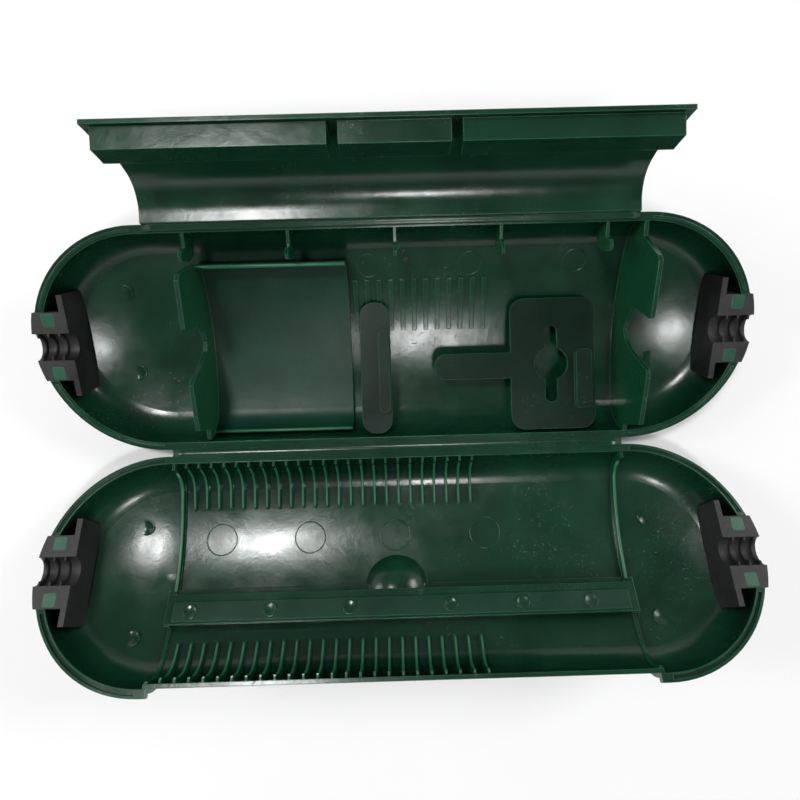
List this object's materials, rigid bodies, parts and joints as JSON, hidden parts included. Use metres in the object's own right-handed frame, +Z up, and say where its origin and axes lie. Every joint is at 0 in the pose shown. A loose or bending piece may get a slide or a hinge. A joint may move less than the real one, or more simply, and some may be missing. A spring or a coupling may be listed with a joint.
{
  "type": "cable connection protection box",
  "caption": "Capsule-shaped clamshell box with living hinges, a snap-over closing flap, a sliding cable tray and split rubber cable grommets.",
  "frame": {"origin": "on the table below the middle of the open box's bounding box", "axes": "+X along the main hinge to the right, +Y from the front half to the back half with the flap, +Z up"},
  "size_m": [0.3942, 0.2668, 0.1122],
  "materials": {
    "green_plastic": "dark green polypropylene, glossy with a fine moulded grain",
    "green_insert": "dark green polypropylene, satin",
    "seal_rubber": "dark brown-grey soft rubber, matte"
  },
  "bodies": {
    "back": {"back_shell": "green_plastic", "main_hinge_web": "green_plastic", "flap_hinge_web": "green_plastic", "stop_strip": "green_insert", "hanger_plate": "green_insert", "grommet_back_left": "seal_rubber", "grommet_back_right": "seal_rubber"},
    "lid": {"front_shell": "green_plastic", "grommet_front_left": "seal_rubber", "grommet_front_right": "seal_rubber"},
    "flap": {"closing_flap": "green_plastic"},
    "tray": {"cable_tray": "green_insert"}
  },
  "joints": [
    {"name": "lid_hinge", "type": "hinge", "parent": "back", "child": "lid", "pos_m": [0, -0.01279, 0.01733], "axis": [-1, 0, 0], "range_deg": [0, 139.5]},
    {"name": "flap_hinge", "type": "hinge", "parent": "back", "child": "flap", "pos_m": [0, 0.10505, 0.0608], "axis": [1, 0, 0], "range_deg": [0, 105]},
    {"name": "tray_slide", "type": "slide", "parent": "back", "child": "tray", "axis": [1, 0, 0], "range_m": [0, 0.085]}
  ]
}
